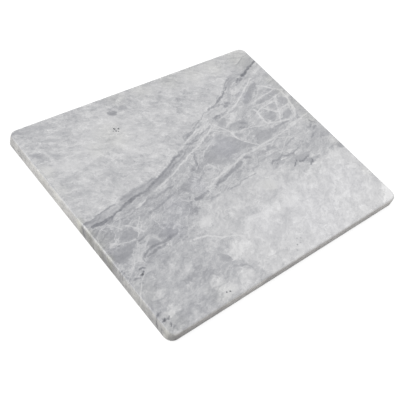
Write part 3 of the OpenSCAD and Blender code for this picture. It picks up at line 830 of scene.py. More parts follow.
# A shade, a strength and the middle line of each streak, with that half width where none is given
SEAMS = [
    (126, 0.9, [(-243, -4.5, 2.2), (-235, -5.2, 3.2), (-227, -5.4, 3.4), (-216, -4.4, 2.6),
        (-207, -2.9, 1.9), (-196, -0.3, 1.7), (-186, 2.3, 1.9)]),
    (132, 0.9, [(-190, 1, 1.2), (-184, 2.8, 2.2), (-178, 4.6, 2.9), (-168, 6.8, 3.1), (-160, 8.5, 2.7),
        (-150, 10.3, 2), (-140, 11, 1.4)]),
    (142, 0.88, [(-146, 10.6, 1.2), (-136, 10.9, 1.7), (-127, 12, 1.9), (-116, 16, 2.2), (-108, 19, 2),
        (-98, 22.5, 1.6), (-93, 24.6, 1.4)]),
    (146, 0.85, [(-97, 23, 1.2), (-88, 26.5, 2), (-78, 30, 2.2), (-70, 32.2, 1.7), (-60, 37.5, 1.4),
        (-53, 40.6, 1.6), (-44, 43.5, 1.2), (-36, 46)]),
    (140, 0.8, [(-256, 3.6, 1), (-238, 5.6, 1), (-226, 7.7, 1), (-214, 10.2, 0.9), (-202, 12),
        (-190, 12, 0.7)]),
    (142, 0.8, [(-258, 3.8, 1.1), (-240, 2.8, 1), (-230, 2.5, 0.9), (-222, 4, 0.7)]),
    (155, 0.8, [(-178, 13), (-172, 15.5, 1), (-160, 17), (-146, 21, 0.6)]),
    (158, 0.7, [(-150, 5), (-140, 6, 1), (-130, 8.5)]),
    (146, 0.8, [(0, 69.5, 1), (12, 71, 1.1), (20, 76, 1), (36, 79)]),
    (158, 0.7, [(27, 86), (37, 89)]),
    (160, 0.75, [(60, 96, 0.7), (66, 98.5, 1), (75, 100.5, 1.2), (82, 103, 1.6)]),
    (150, 0.85, [(77, 103, 1.6), (86, 104, 2.5), (97, 103, 1.8), (106, 103.5)]),
    (144, 0.85, [(94, 105, 1), (104, 110, 2), (112, 113, 2.6), (122, 116.5, 2.5), (131, 121.5, 2.1),
        (140, 127, 1.6), (148, 132, 1)]),
    (158, 0.7, [(111, 118, 0.7), (119, 121, 0.9)]),
    (152, 0.75, [(134, 126, 1), (141, 132, 1.4), (147, 135, 1.2), (152, 140, 1.2), (158, 144.5, 1.4),
        (168, 147, 1)]),
    (154, 0.8, [(-6, 70.5), (10, 74.5, 1.3), (20, 78, 1.4), (34, 84, 1.3), (46, 89.5, 1.2), (60, 95.5, 1)]),
    (154, 0.8, [(-9, 55), (4, 58, 1.4), (14, 62, 1.5), (26, 66.5, 1)]),
    (151, 0.85, [(-92, 20), (-75, 25.5, 1.1), (-58, 31.5, 1.3), (-45, 35.5, 0.9), (-32, 40.5, 1.2),
        (-11, 50.5), (2, 55, 1), (15, 56, 0.7)]),
    (155, 0.8, [(20, 62.5, 0.7), (31, 64, 1.3), (40, 65.5), (48, 68, 1.3), (56, 71)]),
    (152, 0.85, [(-11, 37), (-14, 31, 1.9), (-18, 25, 1.1), (-21, 18, 2.3), (-24, 12, 1.2), (-28, 6, 2.4),
        (-31, 2, 0.6)]),
    (165, 0.75, [(-31, 15), (-35, 8, 1.4), (-37, 4)]),
    (158, 0.8, [(-46, -2), (-42, -7, 1.6), (-38, -13)]),
    (160, 0.75, [(-50, 0), (-57, -6, 1.3), (-54, -11)]),
    (156, 0.8, [(-77, -30), (-81, -38, 1.9), (-87, -46, 1.6), (-91, -52)]),
    (161, 0.75, [(-82, -52), (-84, -59, 1.5)]),
    (160, 0.75, [(-15, -1), (-11, -2.5, 1.7), (-8, -3)]),
    (160, 0.7, [(166, 151), (172, 151.5, 1), (178, 152, 0.6)]),
    (150, 0.8, [(185, 160, 0.7), (190, 157.5, 1.2), (194, 157, 0.7)]),
    (152, 0.75, [(209, 169, 0.7), (216, 172, 1.1), (224, 176, 0.9), (234, 181, 0.7), (256, 185, 0.7)]),
    (124, 0.92, [(194, 142.5, 1.6), (200, 142.5, 3.2), (208, 145.5, 3.5), (215, 149, 2.7), (222, 152.5, 2),
        (232, 156.5, 2.2), (246, 161.5, 2), (258, 165, 1.9)]),
    (134, 0.9, [(175, 135, 1.5), (179, 137, 2.4), (184, 139, 1.8)]),
    (132, 0.9, [(184, 134, 1.5), (188, 136, 2.4), (192, 137, 1.6)]),
    (152, 0.8, [(110, 95, 2), (114, 95.5, 3), (118, 96, 1.6)]),
    (150, 0.8, [(118, 100, 1.4), (122, 100, 1.8), (128, 97.5, 1)]),
    (162, 0.7, [(129, 93, 1), (133, 95, 1)]),
    (146, 0.88, [(71, 81, 0.9), (77, 83, 2.2), (83, 84.5, 2.5), (88, 83, 1.1)]),
    (150, 0.8, [(73, 79), (80, 79, 1.2), (87, 80)]),
    (160, 0.75, [(92, 83), (100, 84, 1.1), (110, 87)]),
    (160, 0.7, [(2, 53), (10, 56, 1), (15, 57, 0.7)]),
    (160, 0.7, [(18, 51, 0.7), (34, 54)]),
    (158, 0.7, [(24, 46, 0.7), (34, 48.5, 0.9)]),
    (160, 0.7, [(-36, 49, 1.6), (-30, 50, 2), (-26, 47, 1.2)]),
    (160, 0.7, [(-20, 46, 1), (-14, 47, 1.8), (-10, 48, 1)]),
    (149, 0.88, [(-22, -32, 1.8), (-12, -30, 2.8), (-5, -29, 3.2), (1, -27.5, 3.4), (7, -26, 2.4)]),
    (149, 0.88, [(9, -25.5, 2.2), (20, -22.5, 3.2), (30, -20.5, 3.4), (42, -17.5, 3.6), (52, -15.5, 2)]),
    (146, 0.88, [(-74, -38.5, 1.4), (-66, -40, 3), (-55, -38.5, 2.8), (-48, -37, 2.2), (-41, -36.5, 1.4)]),
    (152, 0.8, [(-8, -49.5), (0, -49, 1.2), (12, -49, 1.3), (20, -46, 1), (30, -44.5, 0.9), (42, -45),
        (54, -44, 0.7)]),
    (166, 0.75, [(55, -38, 1.5), (62, -35, 2), (72, -35, 1.4)]),
    (168, 0.7, [(76, -29, 1), (95, -28, 1.4), (125, -27, 1)]),
    (152, 0.88, [(60, -10, 1.6), (67, -12.5, 3), (73, -14.5, 1.8)]),
    (165, 0.75, [(107, -16.5, 1.2), (116, -14.5, 1.9), (125, -12, 1.2)]),
    (148, 0.85, [(96, -41.5, 1), (105, -39.5, 1.7), (112, -41.5, 1.6), (119, -40, 1.9), (127, -38.5, 1.9),
        (136, -42.5, 1.4), (150, -43, 1.3), (160, -40, 1.1), (175, -36.5, 0.7)]),
    (132, 0.88, [(129, -66, 0.7), (136, -61.5, 1.6), (143, -57, 1.6)]),
    (134, 0.88, [(146, -62, 1.2), (152, -63.5, 1.8), (160, -62.5, 1.1), (172, -60, 1.3)]),
    (128, 0.88, [(160, -76, 1), (166, -73, 1.4), (172, -70, 1.6)]),
    (164, 0.8, [(147, -23), (160, -21, 1.1), (172, -18, 1.3), (180, -16.5, 1)]),
    (146, 0.85, [(237, 1, 0.9), (238.5, -3, 1.5), (242, -7, 1.6)]),
    (148, 0.82, [(222, -11, 0.9), (228, -10.5, 1.5), (234, -9, 1)]),
    (149, 0.82, [(227, -17.5, 0.9), (233, -16.5, 1.6), (240, -15.5, 0.9)]),
    (150, 0.82, [(208, -33, 1), (214, -30, 1.7), (221, -26, 1.1)]),
    (160, 0.75, [(222, -37, 1.1), (236, -39, 1)]),
    (156, 0.8, [(-208, -14, 0.9), (-195, -13.5, 1.1), (-183, -13, 1.3), (-172, -11, 0.9), (-160, -9)]),
    (160, 0.75, [(-188, -7.5), (-176, -6.5, 1.1), (-166, -5.5)]),
    (158, 0.75, [(-154, -8.5, 0.9), (-149, -8, 1.1)]),
    (153, 0.85, [(-151, -24, 1), (-140, -22.5, 1.6), (-125, -20, 1.5), (-116, -18, 1.4), (-105, -15, 1.4),
        (-92, -13, 1)]),
    (154, 0.85, [(-128, -6), (-118, -4.8, 1.5), (-106, -3.5, 1.8), (-96, -1.8, 1.6), (-86, -1)]),
    (160, 0.7, [(-54, -3, 1.2), (-50, -1.5, 1.6), (-43, 2, 1)]),
    (163, 0.75, [(-46, -12.5, 1), (-40, -11, 1.8), (-34, -8, 1.2)]),
    (162, 0.75, [(-34, 4, 1), (-29, 5, 2), (-24, 5, 1)]),
    (166, 0.7, [(-121, -51, 1.6), (-112, -50, 2.2), (-103, -49, 1.6)]),
    (162, 0.7, [(-97, -49, 1), (-92, -47, 1.8), (-87, -44, 1)]),
    (160, 0.75, [(-90, -62), (-86, -60, 1.5), (-82, -58)]),
    (138, 0.9, [(-209, -83, 1.2), (-200, -78.5, 1.8), (-190, -76, 2.2), (-178, -75, 2.2), (-166, -75.5, 2.4),
        (-154, -74.8, 2.5), (-144, -73.4, 1.9), (-136, -72, 1)]),
    (142, 0.88, [(-204, -84.5, 1), (-194, -83.5, 1.7), (-184, -82, 1.8), (-174, -81, 1.5),
        (-164, -80, 0.9)]),
    (156, 0.8, [(-213, -88, 1), (-212, -84, 1), (-206, -79, 1), (-203, -76, 0.7)]),
    (156, 0.8, [(-213, -89, 0.9), (-208, -93.5, 1), (-201, -94.5, 0.9)]),
    (156, 0.8, [(-140, -88.5, 0.9), (-135, -86.5, 1.4), (-129, -85)]),
    (112, 0.92, [(-233, -104.5), (-228, -104, 1.8), (-224, -101, 1.6)]),
    (118, 0.85, [(-229, -94.5), (-224, -94.5, 1.4), (-219, -96.5, 1)]),
    (128, 0.8, [(-244, -105.5), (-238, -105.5, 1.3), (-235, -108)]),
    (138, 0.75, [(-240, -116.5, 0.9), (-236, -116, 1)]),
    (150, 0.75, [(-256, -103, 1.2), (-247, -101, 1)]),
    (134, 0.8, [(-256, -84, 1.5), (-251, -85, 1.2)]),
    (140, 0.8, [(-256, -90, 1.5), (-250, -89, 1)]),
    (112, 0.9, [(-251, -177, 1), (-247, -177, 2.2), (-243, -176, 1.4)]),
    (122, 0.85, [(-241, -176.5, 0.9), (-238, -175.5, 1.6), (-236, -174.5)]),
    (116, 0.9, [(-244, -186.5, 1), (-242, -184.5, 1.8), (-240, -182.5, 1)]),
    (134, 0.8, [(-243, -191.5, 0.9), (-240, -190.5, 1.4), (-237, -190)]),
    (128, 0.85, [(-253, -168, 1), (-249, -167, 1.7), (-245, -166, 0.9)]),
    (138, 0.8, [(-198, -57, 1), (-195, -56, 1.4), (-192, -55)]),
    (142, 0.8, [(-199, -62.5, 0.9), (-195, -62.5, 1.2), (-191, -61, 0.7)]),
    (152, 0.75, [(-208, -67), (-205, -65, 0.9)]),
    (164, 0.7, [(21, 172.5, 1.6), (24, 173, 2), (27, 173, 1.2)]),
    (168, 0.7, [(70, 176.5, 1.5), (73, 176.5, 1.8), (75, 176, 1)]),
    (166, 0.7, [(40, 143, 1), (43, 146.5, 1.6), (45, 150)]),
    (170, 0.7, [(110, 140, 1.2), (114, 142, 1.6)]),
    (172, 0.7, [(61, 151.5, 1), (65, 152, 1.4)]),
    (176, 0.6, [(-104, -170, 1), (-100, -169.5, 1.5), (-97, -170)]),
    (162, 0.8, [(-106, -162), (-96, -163.5, 1.3), (-90, -165, 1.3), (-84, -168, 1.4), (-80, -174, 1.2)]),
    (165, 0.75, [(-160, -159), (-152, -157.5, 1.1), (-146, -154, 0.7)]),
    (166, 0.7, [(-128, -170, 1.4), (-122, -169, 1.6), (-118, -167)]),
    (152, 0.8, [(100, 45, 0.9), (106, 43, 1.9), (112, 41, 1)]),
    (150, 0.8, [(108, 52, 0.9), (114, 50, 1.9), (121, 47, 1)]),
    (154, 0.7, [(160, 18.5), (175, 17.5, 1.3), (190, 18, 1.2), (200, 18, 0.7)]),
    (164, 0.65, [(98, 100), (104, 106)]),
]
rows = [(shade, strength, SEAM_HALF, points) for shade, strength, points in SEAMS]
tone = painted("seams", tone, RAGGED, rows, edge=1.6, taper=2.0, wear=0.3)

# The marble, its pale veins.
# Thin calcite veins, whiter than the ground, that cross the seams and the fragments, and the
# pale patches and grey streaks into which they spread in the calmer areas. A painted highlight,
# the sheen at the right front corner, lies among the pale patches.

VEIN_LIFT, VEIN_STRENGTH = 2, 0.9
# A shade, a half width and a middle line, whose points may have half widths of their own
PALE_VEINS = [
    (214, 1.4, [(79, 43), (79, 36), (80, 30), (85, 20), (93, 12), (101, 6), (106, 0)]),
    (212, 1.6, [(62, 72), (66, 66), (70, 60), (74, 53), (79, 43)]),
    (210, 1.2, [(79, 43), (88, 41), (99, 38.5), (111, 37), (122, 35), (132, 33), (151, 31)]),
    (216, 2.2, [(158, 68), (158, 58), (156, 48), (156, 36), (160, 30)]),
    (215, 1.9, [(157, 57, 1.4), (163, 61, 1.4), (169, 63, 1.4), (175, 62), (181, 57), (187, 51), (193, 46),
        (199, 42)]),
    (210, 1.1, [(195, 39), (193, 33), (189, 28.5)]),
    (210, 1.2, [(163, 40), (166, 33), (174, 28), (182, 28), (189, 28.5), (194, 30)]),
    (212, 1.7, [(158, 31), (168, 27), (176, 24), (190, 21), (204, 18.5)]),
    (208, 1.2, [(224, 77), (216, 68), (211, 60), (206, 50), (204, 43), (195, 31)]),
    (208, 1.1, [(205, 41), (214, 42), (222, 42), (230, 44)]),
    (209, 1.1, [(184, 70), (188, 66), (196, 68), (206, 67), (212, 62)]),
    (216, 1.3, [(240, 86, 1), (240, 76, 1.3), (240.5, 66, 1.4), (238, 56, 1.5), (235, 47, 2.4),
        (233, 40, 4.2), (230, 33, 4.2), (225, 26, 2.4), (219, 20, 1)]),
    (212, 1.6, [(206, 110), (214, 106), (223, 100), (232, 91), (246, 82)]),
    (218, 1.6, [(216, 105), (222, 99), (228, 93)]),
    (211, 1.3, [(164, 80), (175, 81.5), (186, 83.5), (198, 85.5), (209, 87), (220, 88), (234, 90)]),
    (206, 1.2, [(160, 73), (175, 71.5), (190, 71), (205, 71.5), (220, 74), (236, 77)]),
    (211, 1.8, [(-36, -29), (-20, -25), (-6, -20.5), (0, -19), (20, -15), (45, -10), (60, -6.5), (85, -5),
        (105, -3), (130, -1.5), (150, 0), (175, 3)]),
    (214, 2.4, [(178, 3, 1.5), (190, 6, 3), (200, 8, 3.6), (210, 10, 3), (222, 12, 1.6), (236, 14, 1),
        (250, 16, 0.9)]),
    (212, 1.4, [(-120, 4), (-112, 6), (-100, 10), (-88, 14), (-75, 17), (-60, 22), (-48, 27), (-36, 31),
        (-24, 36), (-13, 40), (3, 45.5), (14, 49), (26, 54), (37, 59), (49, 64)]),
    (211, 1.1, [(49, 64), (55, 59.5), (63, 54), (73, 49)]),
    (209, 1, [(-21, -2), (-19, 3), (-13, 6), (-5, 4), (-1, -2)]),
    (209, 1, [(-20, -3), (-17, -8), (-12, -9.5), (-6, -7.5), (-2, -3)]),
    (212, 1.8, [(-166, -8, 1), (-158, -5, 2), (-150, -3, 1.6), (-142, -1, 0.8)]),
    (202, 1.9, [(-206, -8, 2), (-198, -5, 2.8), (-190, -3, 1.6)]),
    (208, 1.1, [(-192, -48), (-186, -40), (-178, -31), (-170, -23)]),
    (206, 2, [(-198, -27), (-190, -35), (-184, -42), (-180, -47)]),
    (204, 0.9, [(-196, -52), (-190, -47), (-184, -43), (-176, -36)]),
    (206, 2.2, [(-241, -46, 1), (-236, -42, 3.4), (-231, -44, 2.2), (-227, -47, 1)]),
    (201, 1, [(-232, -45), (-222, -48), (-212, -51), (-202, -53)]),
    (199, 1, [(-197, -70), (-189, -64), (-181, -60)]),
    (200, 1.1, [(-176, -60), (-172, -66), (-168, -72)]),
    (199, 1.4, [(-222, -12), (-214, -20), (-208, -27)]),
    (201, 1, [(-254, -102), (-240, -95), (-226, -84), (-214, -72), (-202, -58)]),
    (200, 1.6, [(-214, -29), (-208, -22), (-200, -15)]),
    (210, 1.1, [(-102, 89), (-95, 81), (-82, 74), (-70, 67), (-56, 59), (-42, 51)]),
    (216, 1.5, [(-124, -95), (-113, -97), (-105, -99), (-86, -111), (-72, -117), (-60, -121.5),
        (-50, -127)]),
    (212, 1.3, [(-50, -127), (-52, -136), (-60, -145), (-70, -150)]),
    (208, 1, [(-256, -141), (-250, -128), (-243, -121), (-235, -113), (-226, -106)]),
    (213, 1.2, [(-12, 60), (4, 66), (19, 71), (33, 74), (41, 78)]),
    (212, 1.1, [(19, 71), (39, 75.5), (58, 75)]),
    (212, 1, [(-4, 21), (2, 27), (10, 33), (22, 38)]),
    (217, 1.6, [(107, 82), (120, 85), (134, 90), (155, 101), (175, 112), (193, 122), (208, 131)]),
    (214, 1.2, [(174, 63), (189, 64.5), (204, 66), (215, 69), (226, 75)]),
    (212, 1.3, [(200, 46), (205, 54), (210, 62), (214, 69), (218, 75)]),
    (213, 1.3, [(199, 43), (208, 46), (220, 48.5), (233, 50)]),
    (214, 1.4, [(200, 44), (195, 39), (190, 33), (186, 26), (184, 21)]),
    (207, 0.9, [(226, 48), (224, 37), (219, 24), (218, 15)]),
    (211, 1, [(215, 69), (215.5, 75), (210, 80)]),
    (207, 1.2, [(177, 85), (187, 91), (197, 98), (207, 105)]),
    (207, 1.8, [(-6, 8, 1), (-2, 2, 2.5), (0, -6, 2), (4, -10, 0.8)]),
    (212, 1.1, [(36, 57), (44, 62), (50, 66), (58, 70)]),
    (208, 1.2, [(104, -4), (118, -7), (130, -8), (145, -4), (158, 2)]),
    (206, 0.9, [(104, 25), (112, 31), (118, 38), (124, 40)]),
    (216, 1.6, [(119, -44.5, 1), (124, -44, 1.9), (130, -45, 1.2)]),
    (206, 0.9, [(-80, 31), (-72, 36), (-64, 43)]),
    (205, 0.9, [(-76, -38), (-84, -36), (-92, -30)]),
    (206, 0.8, [(-40, -36), (-38, -41), (-36, -46)]),
    (198, 0.9, [(-80, -37), (-74, -32), (-70, -28)]),
    (204, 1.3, [(150, -3), (160, -8), (172, -12)]),
    (203, 1.7, [(128, -33), (142, -26), (157, -16), (170, -9), (180, -2), (186, 4), (193, 11)]),
    (201, 1, [(-30, 8), (-22, 14), (-15, 22), (-8, 30)]),
    (214, 0.9, [(-112, 127), (-106, 125.5), (-101, 122.5)]),
]
rows = [(shade + VEIN_LIFT, VEIN_STRENGTH, half, points) for shade, half, points in PALE_VEINS]
tone = painted("pale_veins", tone, SMOOTH, rows, edge=1.0, taper=2.5, wear=0.35)

PALE_PATCHES_AND_CORNER_HIGHLIGHT = [
    (209, [(-4, 60, 0.8), (13, 65, 1.7), (22, 66), (29, 68.5, 2), (46, 73, 2), (64, 78.5, 1.5),
        (74, 83, 0.8)]),
    (213, [(144, 112), (150, 117, 3.5), (160, 119, 5), (172, 121, 5), (182, 125, 5), (190, 128, 3),
        (198, 131)]),
    (207, [(70, 91, 2), (79, 92, 4.5), (90, 93.5, 5.5), (104, 94, 6), (111, 95, 2)]),
    (227, [(-93, -149, 2), (-89, -147, 8), (-83, -145, 9.5), (-76, -142.5, 9), (-69, -140, 8),
        (-62, -137, 6.5), (-56, -133, 4.5), (-51, -129, 2)]),
    (214, [(-62, -125, 2), (-56, -128, 4), (-50, -131, 2)]),
    (208, [(30, -71, 3), (45, -72, 5), (60, -73, 5), (75, -70, 3)]),
    (215, [(-99, -82, 2), (-92, -80, 9), (-84, -78, 10), (-77, -76, 6), (-72, -75, 2)]),
    # A painted highlight: the sheen at the right front corner
    (240, [(218, -200), (230, -195, 5), (240, -189, 11), (247, -186, 13), (258, -186, 13)]),
    (229, [(132, -160), (144, -150, 3), (155, -139, 3.6), (166, -129, 3.4), (180, -122, 3), (196, -117)]),
    (220, [(185, -141), (195, -134, 2), (206, -127, 2.2), (220, -120, 1.4), (228, -117, 0.8)]),
    (219, [(187, -98), (200, -90, 2), (212, -81, 2.4), (226, -75, 2), (240, -70)]),
    (222, [(222, -113, 2), (230, -114, 5), (238, -114, 4)]),
    (214, [(-28, -81), (-22, -81, 3), (-16, -83, 2)]),
    (212, [(-70, -85), (-66, -82, 1.4), (-62, -79, 0.8)]),
]
tone = painted("pale_patches_and_corner_highlight", tone, CLOUDY, alike(PALE_PATCHES_AND_CORNER_HIGHLIGHT, 0.75), edge=1.8, taper=2.0)

GREY_STREAKS = [
    (200, [(106, -161, 1.5), (120, -151, 3.5), (132, -143, 4.5), (146, -134, 5), (156, -124, 4.5),
        (166, -114, 4), (180, -103, 2)]),
    (203, [(203, -121, 1.5), (213, -113, 2.5), (224, -104, 2.5), (234, -98, 2.5), (246, -94)]),
    (206, [(178, -142), (192, -128, 1.8), (206, -118, 1.5)]),
    (202, [(222, -141, 2), (228, -141, 2.5), (234, -140)]),
    (200, [(240, -152, 1.5), (248, -154, 2.5), (256, -155, 2)]),
    (160, [(-182, -147, 1.5), (-170, -146, 2.5), (-155, -145.5, 2.5), (-138, -145, 1.2)]),
    (164, [(-167, -157), (-155, -155, 2.2), (-142, -152.5, 2), (-132, -152)]),
    (204, [(-2, -130), (2, -150, 2.5), (-2, -165)]),
]
tone = painted("grey_streaks", tone, CLOUDY, alike(GREY_STREAKS, 0.65), edge=1.8, taper=2.0)

# The marble, its specks, and its finish.
# The pits are painted dark inside, as painted shade, and the stone turns a little blue where it is darker.
# The face is honed to a soft sheen, the sides are ground and warmer, the underside is sawn.

SPECK_AND_PIT_SHADE_STRENGTH = 0.92
# Specks, as a shade, x, y and a radius; the dark ones over the pits are painted shade, the rest are the
# stone's own
SPECKS_AND_PIT_SHADE = [
    (72, -98.5, 137.5, 2), (88, -92, 134.6, 1.8), (110, -98.4, 132.2, 1.7), (128, -95.6, 129.6, 1.3),
    (150, -103.2, 133.8, 1.2), (118, -140.8, -188.4, 1.5), (98, -135.2, -190, 1.5),
    (92, -227.6, -104.2, 1.9), (160, 15.2, -183.2, 1.6), (180, 23, -174.5, 1.5), (178, 23, -183, 1.3),
    (185, 7.5, -190.5, 2.2), (176, 29.5, -177, 1.8), (185, 157, 120, 2.4), (176, 190, 123, 2.2),
    (170, 144, 110, 1.8), (178, 170, 129, 2), (168, -15, 28, 2.4), (168, -16, 37, 2.2), (168, -14, 46, 2.2),
    (150, 237, -4, 1.6), (232, -103, 126, 1.2), (232, -108, 127.5, 1.1), (228, -101.5, 123, 1),
    (228, -113, 128, 0.9), (226, 119, -43.5, 1.1),
]
tone = clouded("specks", tone, BED, 0, 1.0, SPECKS_AND_PIT_SHADE, SPECK_AND_PIT_SHADE_STRENGTH)

# The saw met darker rock in the middle of the left end. The front is evened out, with a painted
# highlight under its arris and painted shade darker towards the underside, and the left arris
# carries painted light and shade along it. These are changes of tone along each side, and from the face down
LEFT_END = [
    (-200, 34), (-190, 22), (-181, -4), (-165, 3), (-145, -4), (-125, 3), (-97, 3), (-84, -5), (-75, -12),
    (-50, -21), (-40, -8), (-28, -17), (-14, -10), (-6, -18), (3, -26), (9, 0), (40, -2), (50, 2), (62, 22),
    (74, 20), (95, 5), (120, 9), (150, 4), (180, 1), (200, 0),
]
# Painted light and shade along the left arris: how much lighter or darker it is at each place along the end
LEFT_ARRIS_LIGHT_AND_SHADE = [
    (-200, -10), (-165, -8), (-145, 2), (-125, -10), (-110, -12), (-97, 3), (-83, -8), (-72, 12), (-40, 19),
    (-24, 12), (-8, 20), (3, 34), (9, 4), (30, -13), (46, -3), (60, -10), (85, -22), (115, -12), (132, -20),
    (148, 0), (162, -9), (190, -9),
]
# Painted light and shade on the front, by depth from the face: a painted highlight at the arris, darker down
# towards the underside
FRONT_LIGHT_AND_SHADE = [(0, 217), (3, 215), (7, 212), (11, 196), (15, 181), (19, 174)]
FRONT_ALONG = [
    (-250, -36), (-240, -36), (-226, -13), (-200, -7), (-165, -8), (-150, 9), (-135, 2), (-118, 12),
    (-100, 24), (-82, 22), (-66, -12), (-40, -6), (0, -5), (30, 5), (60, 1), (90, 6), (120, -3), (150, 4),
    (180, -2), (204, 6), (218, 26), (234, 22), (242, 8),
]
# Painted light on every side, by depth from the face: lighter from just under the arris down, a little darker
# at the very edge
SIDE_PAINTED_LIGHT = [(0, -3), (1.5, 5), (4, 6), (8, 3), (17, 4)]
FRONT_PAINTED_SHARE, SIDE_STREAKS, STREAK_SIZE = 0.82, 42.0, 17.0
# Where each side begins and has fully set in, across the slab or down from the face
END_LIMITS, FRONT_LIMITS, SIDE_LIMITS = (-252.0, -253.5), (-201.2, -202.7), (0.1, 1.6)
ARRIS_LIMITS, ARRIS_FOOT, UNDERSIDE_LIMITS = (-250.2, -251.6), (1.6, 3.2), (17.4, 18.6)
on_left_end = fade(stone, axes["X"], *END_LIMITS, 0.0, 1.0)
on_front = fade(stone, axes["Y"], *FRONT_LIMITS, 0.0, 1.0)
on_left_arris = maths(stone, "MULTIPLY", fade(stone, axes["X"], *ARRIS_LIMITS, 0.0, 1.0),
                      fade(stone, depth, *ARRIS_FOOT, 1.0, 0.0))
tone = maths(stone, "MULTIPLY_ADD", on_left_end, drawn(stone, axes["Y"], LEFT_END), tone)
# The left arris gets its painted light and shade
tone = maths(stone, "MULTIPLY_ADD", on_left_arris, drawn(stone, axes["Y"], LEFT_ARRIS_LIGHT_AND_SHADE), tone)
# The front is mostly painted over with its light and shade, plus its marks along it
front = maths(stone, "ADD", drawn(stone, depth, FRONT_LIGHT_AND_SHADE), drawn(stone, BED[0], FRONT_ALONG))
tone = mix(stone, maths(stone, "MULTIPLY", on_front, FRONT_PAINTED_SHARE), tone, front)
on_side = fade(stone, depth, *SIDE_LIMITS, 0.0, 1.0)
streaks = noise((axes["X"], axes["Y"]), STREAK_SIZE, 2.0, 0.6, 12.0)
# Painted light on the sides, with the stone's own streaks
lift = maths(stone, "MULTIPLY_ADD", streaks, SIDE_STREAKS, drawn(stone, depth, SIDE_PAINTED_LIGHT))
tone = maths(stone, "MULTIPLY_ADD", on_side, lift, tone)
tone = maths(stone, "MULTIPLY_ADD", mottle, MOTTLE_AFTER, tone)

# Streaks that follow the long seam, close beside it, and a fine grit over everything
BRAID_REACH, BRAID_STRENGTH, BRAID_LENGTH, BRAID_SIZE = 6.0, 60.0, 7.0, 4.0
GRIT_SIZE, GRIT_STRENGTH = 1.6, 14.0
beside = maths(stone, "SUBTRACT", RAGGED[1], drawn(stone, RAGGED[0], LONG_SEAM))
braid = noise((maths(stone, "DIVIDE", RAGGED[0], BRAID_LENGTH), beside), BRAID_SIZE, 2.0, 0.8, 11.0)
near = fade(stone, maths(stone, "ABSOLUTE", beside), BRAID_REACH, 2.5 * BRAID_REACH, BRAID_STRENGTH, 0.0)
tone = maths(stone, "MULTIPLY_ADD", braid, near, tone)
grit = noise(BED, GRIT_SIZE, 2.0, 0.7)
tone = maths(stone, "MULTIPLY_ADD", grit, GRIT_STRENGTH, tone)

GAMMA = 2.2
# How much bluer and redder than green the stone is at each tone, and how much the sides add
BLUE_CURVE = [(120, 6), (155, 4.5), (175, 3.4), (190, 2.3), (205, 1.5), (215, 1), (235, 0.6)]
RED_CURVE = [(120, -1.4), (155, -0.8), (185, -0.6), (205, 0), (235, 0.3)]
SIDE_RED, SIDE_BLUE, FRONT_RED = 1.5, -3.8, 2.0
# Areas where the stone is warmer or bluer than the rest, as the change in blue, x, y and radius
WARMTH = [
    (-1.8, -112, 126, 30), (-1.4, -150, 112, 18), (-1.6, 0, 196, 26), (-1.8, 60, 192, 26),
    (-1.8, 110, 188, 26), (-1.7, 160, 186, 26), (-2.4, 225, 182, 34), (-1.6, -55, 196, 22),
    (-2, 246, 110, 16), (-2.1, 246, 80, 18), (-2.2, 246, 45, 20), (-2.3, 246, 8, 20), (-1.6, -246, 110, 16),
    (-1.2, -246, 70, 16), (-1.6, -246, -30, 18), (-1.2, -246, -130, 26), (-1.4, -240, -190, 22),
    (-1.1, -150, -188, 24), (1.5, 45, 22, 28), (1.4, -140, -64, 22), (0.9, 90, -150, 76),
    (0.8, 190, -130, 50), (0.7, 0, -128, 40), (-1, 246, -135, 12), (-1.2, 246, -60, 14), (-1.4, 58, -74, 14),
    (-5, -254, 13, 8), (-4.5, -254, -12, 10), (-4, -254, -36, 11), (-4.5, -254, -60, 9),
    (-2.5, -254, -188, 8), (0.9, -112, -38, 26), (1.2, -50, -20, 18), (1.5, 165, 100, 14),
]

on_underside = fade(stone, depth, *UNDERSIDE_LIMITS, 0.0, 1.0)
side_red = maths(stone, "MULTIPLY_ADD", on_front, FRONT_RED, SIDE_RED)
warmth = clouded("warmth", 0.0, BED, 0, 1.0, WARMTH, 1.0)


def channel(curve=None, side=0.0, local=None):
    """One colour of the stone, from its tone and the small changes that go with it."""
    level = tone if curve is None else maths(stone, "ADD", tone, drawn(stone, tone, curve))
    level = level if local is None else maths(stone, "ADD", level, local)
    level = maths(stone, "MULTIPLY_ADD", on_side, side, level)
    return maths(stone, "POWER", maths(stone, "DIVIDE", level, 255.0), GAMMA)


def surface(tree, colour, roughness, height, relief, ior=None):
    """An opaque surface. Its relief is how strongly the height shows, and its depth in millimetres."""
    bump = add(tree, "ShaderNodeBump",
               named={"Strength": relief[0], "Distance": relief[1] * MM, "Height": height})
    shader = add(tree, "ShaderNodeBsdfPrincipled",
                 named={"Base Color": colour, "Roughness": roughness, "Normal": bump, "IOR": ior})
    add(tree, "ShaderNodeOutputMaterial", shader)


# Roughness of the honed face, and how much duller the ground sides and the sawn underside are
SHEEN_SIZE, SHEEN_NOISE, SHEEN_LIMITS = 14.0, (-0.2, 0.2), (0.36, 0.50)
SIDE_DULLNESS, SAWN_DULLNESS = 0.10, 0.12
TOOTH_SIZE, SAW_ANGLE, SAW_LENGTH, SAW_PITCH, SAW_STRENGTH = 2.2, 4, 60.0, 2.4, 4.0
FACE_RELIEF, CALCITE_IOR = (0.12, 0.1), 1.49
colour = add(stone, "ShaderNodeCombineColor",
             channel(RED_CURVE, side_red), channel(), channel(BLUE_CURVE, SIDE_BLUE, warmth))
tooth = noise(BED, TOOTH_SIZE, 3.0, 0.6)
sheen = add(stone, "ShaderNodeMapRange", noise(BED, SHEEN_SIZE, 3.0, 0.6), *SHEEN_NOISE, *SHEEN_LIMITS)
sheen = maths(stone, "MULTIPLY_ADD", on_underside, SAWN_DULLNESS, sheen)
sheen = maths(stone, "MULTIPLY_ADD", on_side, SIDE_DULLNESS, sheen)
